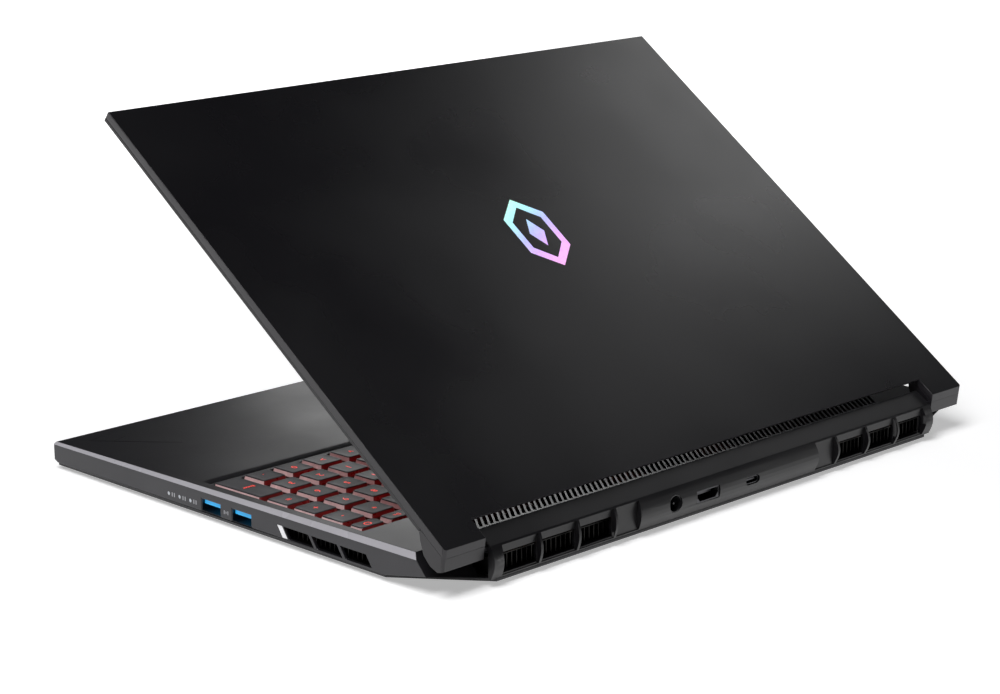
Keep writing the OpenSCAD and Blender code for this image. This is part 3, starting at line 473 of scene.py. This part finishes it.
def lid_skin():
    """Lid cover: near-black painted face on a slightly lighter edge, with rounded ear corners."""
    bm = node_mesh("lid_cover")
    into = LID.inverted()
    ear_y = span("hinge_caps", LID)[0].y

    def ear_corner(edge):
        a, b = (into @ v.co for v in edge.verts)
        return (min(abs(a.x), abs(b.x)) > SIDE_X - 0.1 * MM and min(a.y, b.y) > ear_y + 2 * MM
                and abs(a.z - b.z) > 1 * MM)

    round_edges(bm, EAR_R, ear_corner, 1.0, 4)
    seam = span("lid_cover", LID)[0].z

    def outer_edge(edge):
        a, b = (into @ v.co for v in edge.verts)
        return ((abs(a.x) > SIDE_X - 2 * MM or edge.calc_length() > 4 * MM)
                and max(a.z, b.z) >= seam + 0.05 * MM)

    round_edges(bm, 0.3, outer_edge)
    bm.normal_update()
    up = LID.to_3x3() @ Vector((0, 0, 1))
    for face in bm.faces:
        face.material_index = 0 if face.normal.dot(up) > 0.93 else 1
    return piece(bm, "lid_skin", "lid", ("lid_plastic", "lid_edge"), ["lid_cover"])


def hinge_ends():
    """Lower halves of the lid's ears, with rounded rear corners."""
    bm = node_mesh("hinge_caps")
    into = LID.inverted()
    rear = span("hinge_caps", LID)[1].y

    def rear_corner(edge):
        a, b = (into @ v.co for v in edge.verts)
        return (min(abs(a.x), abs(b.x)) > SIDE_X - 0.1 * MM and min(a.y, b.y) > rear - 5 * MM
                and abs(a.z - b.z) > 3 * MM)

    round_edges(bm, EAR_R, rear_corner, 1.0, 4)
    seam = span("hinge_caps", LID)[1].z
    round_edges(bm, 0.35, lambda e: not all((into @ v.co).z > seam - 0.05 * MM for v in e.verts))
    return piece(bm, "hinge_ends", "lid", ("hinge_cap_plastic",),
                 ["hinge_caps"])


def bezel_frame():
    """Frame round the display."""
    bm = node_mesh("display_bezel")
    round_edges(bm, 0.3, min_length=4)
    return piece(bm, "bezel_frame", "lid", ("bezel_plastic",), ["display_bezel"])


def pad_surface():
    """Touchpad plate with a fine polished chamfer in the light trim colour, partly a painted highlight."""
    bm = node_mesh("touchpad")
    top = span("touchpad", DECK)[1].z
    into = DECK.inverted()
    round_edges(bm, 0.35, lambda e: min((into @ v.co).z for v in e.verts) > top - 0.05 * MM)
    bm.normal_update()
    normal = DECK.to_3x3() @ Vector((0, 0, 1))
    for face in bm.faces:
        tilt = face.normal.dot(normal)
        face.material_index = 1 if 0.2 < tilt < 0.95 else 0
    return piece(bm, "pad_surface", "touchpad_body",
                 ("touchpad_plastic", "bevel_trim_and_highlight"), ["touchpad"])


def emblem_badge():
    """Plain hexagon badge on the lid."""
    bm = node_mesh("lid_emblem")
    round_edges(bm, 0.04, min_length=0.5, segments=1)
    return piece(bm, "emblem_badge", "lid", ("emblem_film",), ["lid_emblem"])


# ---------- keyboard ----------

LEGENDS = {
    "keys_function_row": (["Esc"] + [f"F{i}" for i in range(1, 13)]
                          + ["Prt", "Del", "Home", "Up", "Dn"]),
    "key_power": ["O"],
    "keys_number_row": list("`1234567890-=") + ["Num", "/", "*", "-"],
    "key_backspace": ["Back"],
    "keys_upper_row": list("QWERTYUIOP[]") + ["\\", "7", "8", "9", "+"],
    "key_tab": ["Tab"],
    "keys_home_row": list("ASDFGHJKL;'") + ["4", "5", "6", "="],
    "key_caps_lock": ["Caps"],
    "key_enter": ["Enter"],
    "keys_lower_row": list("ZXCVBNM,./") + ["1", "2", "3"],
    "key_left_shift": ["Shift"],
    "key_right_shift": ["Shift"],
    "keys_bottom_row": ["Ctrl", "Fn", "+", "Alt", "Alt", "Fn", "Ctrl", "0", "."],
    "key_space": [""],
    "key_numpad_enter": ["Enter"],
    "key_up": ["^"],
    "key_left": ["<"],
    "key_down": ["v"],
    "key_right": [">"],
}
LEGEND_SIZE = 5.4 * MM
WORD_SIZE = 3.0 * MM
LEGEND_THICK = 0.03 * MM
DISH = 0.16  # depth of a keycap's dip, in mm
CAP, SKIRT_X, LEGEND, SKIRT_Y = range(4)  # order of a key piece's materials


def legend_mesh(word):
    """The mesh of a key's legend, centred on the origin."""
    curve = bpy.data.curves.new("legend", "FONT")
    curve.body = word
    curve.size = LEGEND_SIZE if len(word) == 1 else WORD_SIZE
    curve.align_x, curve.align_y = "CENTER", "CENTER"
    curve.extrude = LEGEND_THICK
    curve.resolution_u = 2
    obj = bpy.data.objects.new("legend", curve)
    bpy.context.scene.collection.objects.link(obj)
    solid = obj.evaluated_get(bpy.context.evaluated_depsgraph_get())
    mesh = bpy.data.meshes.new_from_object(solid)
    bpy.data.objects.remove(obj)
    bpy.data.curves.remove(curve)
    return mesh


def loft(bm, rings, index_of):
    """Skins a stack of rings; index_of gives a face's material from its level and direction."""
    rows = [[bm.verts.new(p) for p in ring] for ring in rings]
    count = len(rings[0])
    for level in range(len(rows) - 1):
        lower, upper, ring = rows[level], rows[level + 1], rings[level]
        for i in range(count):
            j = (i + 1) % count
            face = bm.faces.new((lower[i], lower[j], upper[j], upper[i]))
            across, beyond = ring[(i + count // 2) % count], ring[(j + count // 2) % count]
            face.material_index = index_of(level, ring[i] + ring[j] - across - beyond)
    bm.faces.new(list(reversed(rows[0]))).material_index = CAP
    bm.faces.new(rows[-1]).material_index = CAP


def keycap(bm, low, high):
    """A dished cap on clear sides, in the deck's frame between two corners."""
    # height share of each ring, how far it stands in, and how deep its middle dips, in mm
    profile = [(0.0, 0.3, 0), (0.08, 0.15, 0), (0.8, 0.6, 0), (0.84, 0.64, 0), (0.96, 0.8, 0),
               (1.0, 1.15, 0), (1.0, 1.9, 0.06), (1.0, 3.6, DISH)]
    size = high - low
    rings = []
    for share, inset, dip in profile:
        z = low.z + size.z * share - dip * MM
        d = inset * MM
        radius = max(1.7 * MM - 0.5 * d, 0.5 * MM)
        outline = rounded_rect(low.x + d, high.x - d, low.y + d, high.y - d, radius)
        rings.append([DECK @ Vector((x, y, z)) for x, y in outline])

    def pick(level, outward):
        if level > 2:
            return CAP
        # sides facing along x get the pale painted-light colour, sides facing along y the deep red painted-shade
        # colour
        return SKIRT_X if abs(outward.x) * size.y > abs(outward.y) * size.x else SKIRT_Y

    loft(bm, rings, pick)


def key_piece(node):
    """All keys of one body: cap, backlit skirt and legend of each; the skirt's sides along x carry a pale
    painted-light colour, its sides along y a deep red painted-shade colour.
    """
    bm = bmesh.new()
    into = DECK.inverted()
    keys = []
    for group in islands(node):
        points = [into @ p for p in group]
        keys.append((Vector([min(p[i] for p in points) for i in range(3)]),
                     Vector([max(p[i] for p in points) for i in range(3)])))
    keys.sort(key=lambda k: k[0].x)
    for (low, high), word in zip(keys, LEGENDS[node]):
        keycap(bm, low, high)
        if not word:
            continue
        mesh = legend_mesh(word)
        middle = (low + high) / 2
        seat = high.z - DISH * MM + LEGEND_THICK
        mesh.transform(DECK @ Matrix.Translation((middle.x, middle.y, seat)))
        first = len(bm.faces)
        bm.from_mesh(mesh)
        bm.faces.ensure_lookup_table()
        for face in bm.faces[first:]:
            face.material_index = LEGEND
        bpy.data.meshes.remove(mesh)
    bodies = frame["record"]["behaviour"]["bodies"]
    body = next(b for b, members in bodies.items() if node in members)
    return piece(bm, node + "_caps", body,
                 ("keycap_plastic", "key_side_pale_painted_light", "key_legend", "key_side_red_painted_shade"), [node], 40)


def keyboard_well():
    """A strip along the keys' front edge with two rows of small round perforations, drawn as thin near-black discs
    that paint the holes' shade.
    """
    bm = bmesh.new()
    low, high = span("keyboard_plate", DECK)
    front = min(span(node, DECK)[0].y for node in LEGENDS)
    top = span("key_space", DECK)[0].z + 1.1 * MM
    left, right = low.x + 0.3 * MM, high.x - 0.3 * MM
    near, far = span("key_membrane", DECK)[0].y + 0.1 * MM, front - 0.35 * MM
    block(bm, (left, near, top - 0.5 * MM), (right, far, top), DECK)
    round_edges(bm, 0.15)
    pitch, hole_r, hole_rise = 2.4 * MM, 0.36 * MM, 0.02 * MM
    place = DECK @ Matrix.Translation((0, 0, top))
    for row in (0, 1):
        for i in range(int((right - left) / pitch) - 1):
            x = left + pitch * (i + 0.7 + 0.5 * row)
            y = near + (far - near) * (0.34 + 0.36 * row)
            # each perforation is a thin near-black disc on the strip: painted shade for the hole
            prism(bm, circle(x, y, hole_r, 8), place, hole_rise, 1)
    return piece(bm, "well_strip", "base", ("side_plastic", "recess_black"))


# ---------- small visible details ----------

def side_frame(side, x):
    """A frame on a side wall: its x runs rearward, its y up, its z outward."""
    return Matrix(((0, 0, side, side * x), (1, 0, 0, 0), (0, 1, 0, 0), (0, 0, 0, 1)))


def vent_accents():
    """Bright facets set into the seats at the front end of the side vents."""
    bm = bmesh.new()
    floor_x = SIDE_X - 0.6 * MM
    for side in (-1, 1):
        seat = {(round(v.co.y, 5), round(v.co.z, 5)) for v in NODES["top_cover"].data.vertices
                if abs(side * v.co.x - floor_x) < 0.02 * MM}
        middle = (sum(p[0] for p in seat) / len(seat), sum(p[1] for p in seat) / len(seat))
        points = sorted(seat, key=lambda p: math.atan2(p[1] - middle[1], p[0] - middle[0]))
        prism(bm, points, side_frame(side, floor_x), 0.5 * MM)
    round_edges(bm, 0.12, min_length=0.4)
    return piece(bm, "vent_accents", "base", ("vent_accent",))


def usb_contacts():
    """Four gold fingers under each data port's tongue."""
    bm = bmesh.new()
    tip, root, half, proud, sunk = (v * MM for v in (1.0, 9.0, 0.5, 0.12, 0.02))
    for group in islands("usb_tongues"):
        low = Vector([min(p[i] for p in group) for i in range(3)])
        high = Vector([max(p[i] for p in group) for i in range(3)])
        side = 1 if high.x > 0 else -1
        mouth = max(abs(low.x), abs(high.x))
        for k in range(4):
            y = low.y + (high.y - low.y) * (0.2 + 0.2 * k)
            ends = sorted((side * (mouth - tip), side * (mouth - root)))
            block(bm, (ends[0], y - half, low.z - proud), (ends[1], y + half, low.z + sunk))
    return piece(bm, "usb_contacts", "base", ("contact_gold",))


def side_marks():
    """Small plain bars beside the lights and between the data ports."""
    bm = bmesh.new()
    lights = sorted((min(p.y for p in g) + max(p.y for p in g)) / 2
                    for g in islands("status_lights"))
    z = sum(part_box("status_lights")[i].z for i in (0, 1)) / 2
    place = side_frame(1, SIDE_X - 0.01 * MM)

    def bar(y0, y1, reach):
        prism(bm, [(y0, z - reach), (y1, z - reach), (y1, z + reach), (y0, z + reach)],
              place, 0.02 * MM)

    for y in lights:
        for k in range(2):
            start = y + (2.3 + 1.6 * k) * MM
            bar(start, start + 0.7 * MM, 1.0 * MM)
    ports = sorted(((min(p.y for p in g), max(p.y for p in g)) for g in islands("usb_ports")
                    if max(p.x for p in g) > 0))
    middle = (ports[0][1] + ports[1][0]) / 2
    for k, reach in enumerate((0.9, 0.5, 0.9)):
        y = middle + (k - 1) * 1.3 * MM
        bar(y - 0.3 * MM, y + 0.3 * MM, reach * MM)
    return piece(bm, "side_marks", "base", ("side_mark",))


def palm_lines():
    """Two plain bent lines, barely raised, near the front right corner of the palm rest."""
    bm = bmesh.new()
    top = span("top_cover", DECK)
    x1 = SIDE_X - 9 * MM
    y0 = top[0].y + 12 * MM
    deck_z = span("touchpad", DECK)[1].z + 0.18 * MM
    place = DECK @ Matrix.Translation((0, 0, deck_z))
    half_width, rise = 0.35 * MM, 0.07 * MM
    for shift, length in ((0, 46), (7, 30)):
        corner = Vector((x1 - 4 * MM - shift * MM, y0 + 1.3 * shift * MM))
        long_end = corner + Vector((-length * 0.62, length * 0.78)) * MM
        short_end = corner + Vector((-9, -3)) * MM
        for end in (long_end, short_end):
            d = (end - corner).normalized() * half_width
            n = Vector((-d.y, d.x))
            prism(bm, [tuple(corner - n), tuple(end - n), tuple(end + n), tuple(corner + n)],
                  place, rise)
    return piece(bm, "palm_lines", "base", ("deck_plastic",))


def screen_details():
    """Ring round the camera lens, two microphone holes drawn as dark discs of painted shade, and the camera's
    light.
    """
    bm = bmesh.new()
    low, high = span("camera_module", LID)
    y = (low.y + high.y) / 2
    face = span("display_bezel", LID)[0].z
    count, ring_rise, dot_rise = 24, 0.06 * MM, 0.03 * MM
    outer, inner = circle(0, y, 2.9 * MM, count), circle(0, y, 2.25 * MM, count)
    place = LID @ Matrix.Translation((0, 0, face - ring_rise))
    for k in range(count):
        j = (k + 1) % count
        prism(bm, [outer[k], outer[j], inner[j], inner[k]], place, ring_rise)
    place = LID @ Matrix.Translation((0, 0, face - dot_rise))
    # the two outer dots are microphone holes drawn as dark discs: painted shade
    for x, r in ((-14, 0.5), (14, 0.5), (7, 0.6)):
        prism(bm, circle(x * MM, y, r * MM, count), place, dot_rise)
    return piece(bm, "camera_trim", "lid", ("camera_body",))


# ---------- assembly ----------

for part in frame["record"]["subparts"]:
    node = NODES[part["node"]]
    node.data.materials.clear()
    node.data.materials.append(MATS[part["material_slot"]])
    weld = node.modifiers.new("join_corners", "WELD")
    weld.merge_threshold = WELD

deck_shell()
rear_shell()
bottom_shell()
feet()
lid_skin()
hinge_ends()
bezel_frame()
pad_surface()
emblem_badge()
for name in LEGENDS:
    key_piece(name)
keyboard_well()
vent_accents()
usb_contacts()
side_marks()
palm_lines()
screen_details()


# ---------- floor, light and camera ----------

def make_floor():
    """A pale plain floor that glows a little more towards its edge."""
    bm = bmesh.new()
    bmesh.ops.create_grid(bm, x_segments=1, y_segments=1, size=12.0)
    mesh = bpy.data.meshes.new("floor")
    bm.to_mesh(mesh)
    bm.free()
    n = Nodes("floor")
    n.link(n.ramp(n.noise(3.0), [(0.3, (0.84, 0.84, 0.845)), (0.7, (0.86, 0.86, 0.865))]),
           n.shader.inputs["Base Color"])
    reach = n.add("ShaderNodeVectorMath", operation="LENGTH")
    n.link(n.place, reach.inputs[0])
    n.link(n.span(reach.outputs["Value"], 0.25, 0.9, 0.4, 1.0),
           n.shader.inputs["Emission Strength"])
    n.set(Roughness=0.7, Specular_IOR_Level=0.2, Emission_Color=(1, 1, 1, 1))
    mesh.materials.append(n.mat)
    floor = bpy.data.objects.new("floor", mesh)
    bpy.context.scene.collection.objects.link(floor)


def softbox(name, place, aim, size, power):
    """A rectangular white area light at place, facing aim; power is in watts."""
    light = bpy.data.lights.new(name, "AREA")
    light.shape = "RECTANGLE"
    light.size, light.size_y = size
    light.energy = power
    obj = bpy.data.objects.new(name, light)
    obj.location = place
    obj.rotation_euler = (Vector(aim) - Vector(place)).to_track_quat("-Z", "Y").to_euler()
    bpy.context.scene.collection.objects.link(obj)


def make_world():
    """A dim room for light and reflections, with a pale wall behind the floor's edge."""
    world = bpy.data.worlds.new("studio")
    bpy.context.scene.world = world
    world.use_nodes = True
    tree = world.node_tree
    room = tree.nodes["Background"]
    room.inputs["Color"].default_value = (0.9, 0.93, 1.0, 1)
    room.inputs["Strength"].default_value = 0.03
    wall = tree.nodes.new("ShaderNodeBackground")
    wall.inputs["Color"].default_value = (1, 1, 1, 1)
    rays = tree.nodes.new("ShaderNodeLightPath")
    mix = tree.nodes.new("ShaderNodeMixShader")
    tree.links.new(rays.outputs["Is Camera Ray"], mix.inputs["Fac"])
    tree.links.new(room.outputs["Background"], mix.inputs[1])
    tree.links.new(wall.outputs["Background"], mix.inputs[2])
    tree.links.new(mix.outputs["Shader"], tree.nodes["World Output"].inputs["Surface"])


def make_camera():
    """Camera behind the laptop's right rear corner, a little above it."""
    azimuth, elevation, roll = (math.radians(a) for a in (135.2, 14.3, -0.31))
    target = Vector((0.0821, 0.0696, 0.0796))
    distance = 1.1607
    back = Vector((math.sin(azimuth) * math.cos(elevation), -math.cos(azimuth) * math.cos(elevation),
                   math.sin(elevation)))
    right = Vector((0, 0, 1)).cross(back).normalized()
    up = back.cross(right)
    x = right * math.cos(roll) + up * math.sin(roll)
    y = up * math.cos(roll) - right * math.sin(roll)
    data = bpy.data.cameras.new("camera")
    data.sensor_width = 36.0
    data.lens = 92.9
    data.clip_start, data.clip_end = 0.05, 60.0
    camera = bpy.data.objects.new("camera", data)
    turned = Matrix((x, y, back)).transposed().to_4x4()
    camera.matrix_world = Matrix.Translation(target + back * distance) @ turned
    bpy.context.scene.collection.objects.link(camera)
    bpy.context.scene.camera = camera


make_floor()
make_world()
softbox("overhead", (1.1, 0.3, 2.0), (0.05, 0, 0), (1.0, 1.6), 46)
softbox("lid_sheen", (-1.30, -0.20, 0.93), (-0.1, 0.0, 0.1), (0.42, 0.5), 1.55)
softbox("deck_sheen", (-0.98, -1.05, 0.34), (0.05, -0.05, 0.0), (0.42, 0.26), 1.1)
softbox("rear_card", (-0.62, 0.55, 0.16), (-0.05, 0.14, 0.012), (0.24, 0.16), 0.12)
make_camera()
bpy.context.scene.view_settings.view_transform = "Standard"
